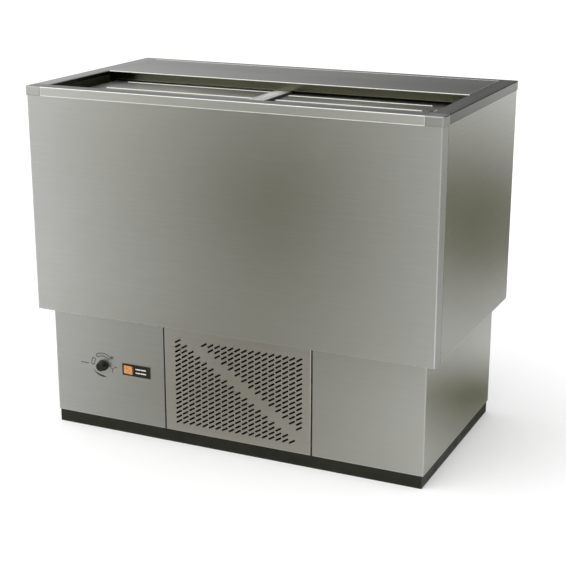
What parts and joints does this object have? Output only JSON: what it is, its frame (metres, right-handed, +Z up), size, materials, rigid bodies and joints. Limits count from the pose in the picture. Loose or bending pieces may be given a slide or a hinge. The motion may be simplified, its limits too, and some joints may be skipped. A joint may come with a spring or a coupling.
{
  "type": "chest freezer cabinet with sliding lids",
  "caption": "Stainless chest cabinet for ice cream tubs: an insulated tank under sliding sheet lids and a rear shelf, over a machine base with a slotted grille.",
  "frame": {"origin": "on the floor under the middle of the cabinet's bounding box", "axes": "+X along the cabinet's width to the user's right, +Y from the control side to the back, +Z up"},
  "size_m": [1, 0.55, 0.826],
  "materials": {
    "brushed_steel": "satin brushed stainless steel sheet",
    "rim_steel": "fine brushed stainless steel trim",
    "galvanised_sheet": "dull zinc-coated sheet",
    "black_plastic": "satin black moulding",
    "black_paint": "semi-gloss black enamel",
    "insulating_foam": "open foam, hidden",
    "white_plastic": "matt off-white",
    "amber_lens": "translucent amber, lit",
    "copper": "drawn copper tube",
    "fin_aluminium": "mill aluminium",
    "rubber": "matt black rubber"
  },
  "bodies": {
    "cabinet": {"back_panel": "galvanised_sheet", "base_tray": "galvanised_sheet", "breaker_left": "black_plastic", "breaker_right": "black_plastic", "cable_gland": "black_plastic", "capillary_tube": "copper", "compressor": "black_paint", "compressor_mount_front_left": "rubber", "compressor_mount_front_right": "rubber", "compressor_mount_rear_left": "rubber", "compressor_mount_rear_right": "rubber", "compressor_terminal_cover": "black_plastic", "condenser": "fin_aluminium", "control_panel": "brushed_steel", "discharge_pipe": "copper", "drain_cap": "black_plastic", "drain_pipe": "white_plastic", "evaporator_coil": "copper", "fan_motor": "black_paint", "fan_shroud": "galvanised_sheet", "filter_drier": "copper", "front_panel": "brushed_steel", "grille_panel": "brushed_steel", "inner_tank": "brushed_steel", "insulation_foam": "insulating_foam", "junction_box": "white_plastic", "liquid_pipe": "copper", "lower_back_panel": "galvanised_sheet", "lower_side_left": "brushed_steel", "lower_side_right": "brushed_steel", "plinth_front": "black_plastic", "plinth_left": "black_plastic", "plinth_rear": "black_plastic", "plinth_right": "black_plastic", "rear_shelf": "brushed_steel", "right_front_panel": "brushed_steel", "rim_corner_front_left": "rim_steel", "rim_corner_front_right": "rim_steel", "rim_corner_rear_left": "rim_steel", "rim_corner_rear_right": "rim_steel", "rim_front": "rim_steel", "rim_left": "rim_steel", "rim_rear": "rim_steel", "rim_right": "rim_steel", "shelf_insulation": "white_plastic", "side_panel_left": "brushed_steel", "side_panel_right": "brushed_steel", "suction_pipe": "copper", "switch_frame": "black_plastic", "thermostat_body": "black_plastic", "track_front": "black_plastic", "track_rear": "black_plastic", "underside_pan": "galvanised_sheet"},
    "lid_left": {"lid_left": "brushed_steel", "lid_left_grip": "brushed_steel"},
    "lid_right": {"lid_right": "brushed_steel"},
    "knob": {"thermostat_knob": "black_plastic"},
    "rocker": {"switch_rocker": "amber_lens"},
    "fan": {"fan_blades": "fin_aluminium"}
  },
  "joints": [
    {"name": "lid_left_slide", "type": "slide", "parent": "cabinet", "child": "lid_left", "axis": [1, 0, 0], "range_m": [0, 0.42]},
    {"name": "lid_right_slide", "type": "slide", "parent": "cabinet", "child": "lid_right", "axis": [-1, 0, 0], "range_m": [0, 0.43]},
    {"name": "thermostat_turn", "type": "hinge", "parent": "cabinet", "child": "knob", "pos_m": [-0.34, -0.245, 0.163], "axis": [0, -1, 0], "range_deg": [-60, 240]},
    {"name": "switch_rock", "type": "hinge", "parent": "cabinet", "child": "rocker", "pos_m": [-0.2675, -0.2395, 0.16275], "axis": [0, 0, 1], "range_deg": [0, 16]},
    {"name": "fan_spin", "type": "hinge", "parent": "cabinet", "child": "fan", "pos_m": [0.0165, -0.138, 0.16], "axis": [0, 1, 0], "continuous": true}
  ]
}
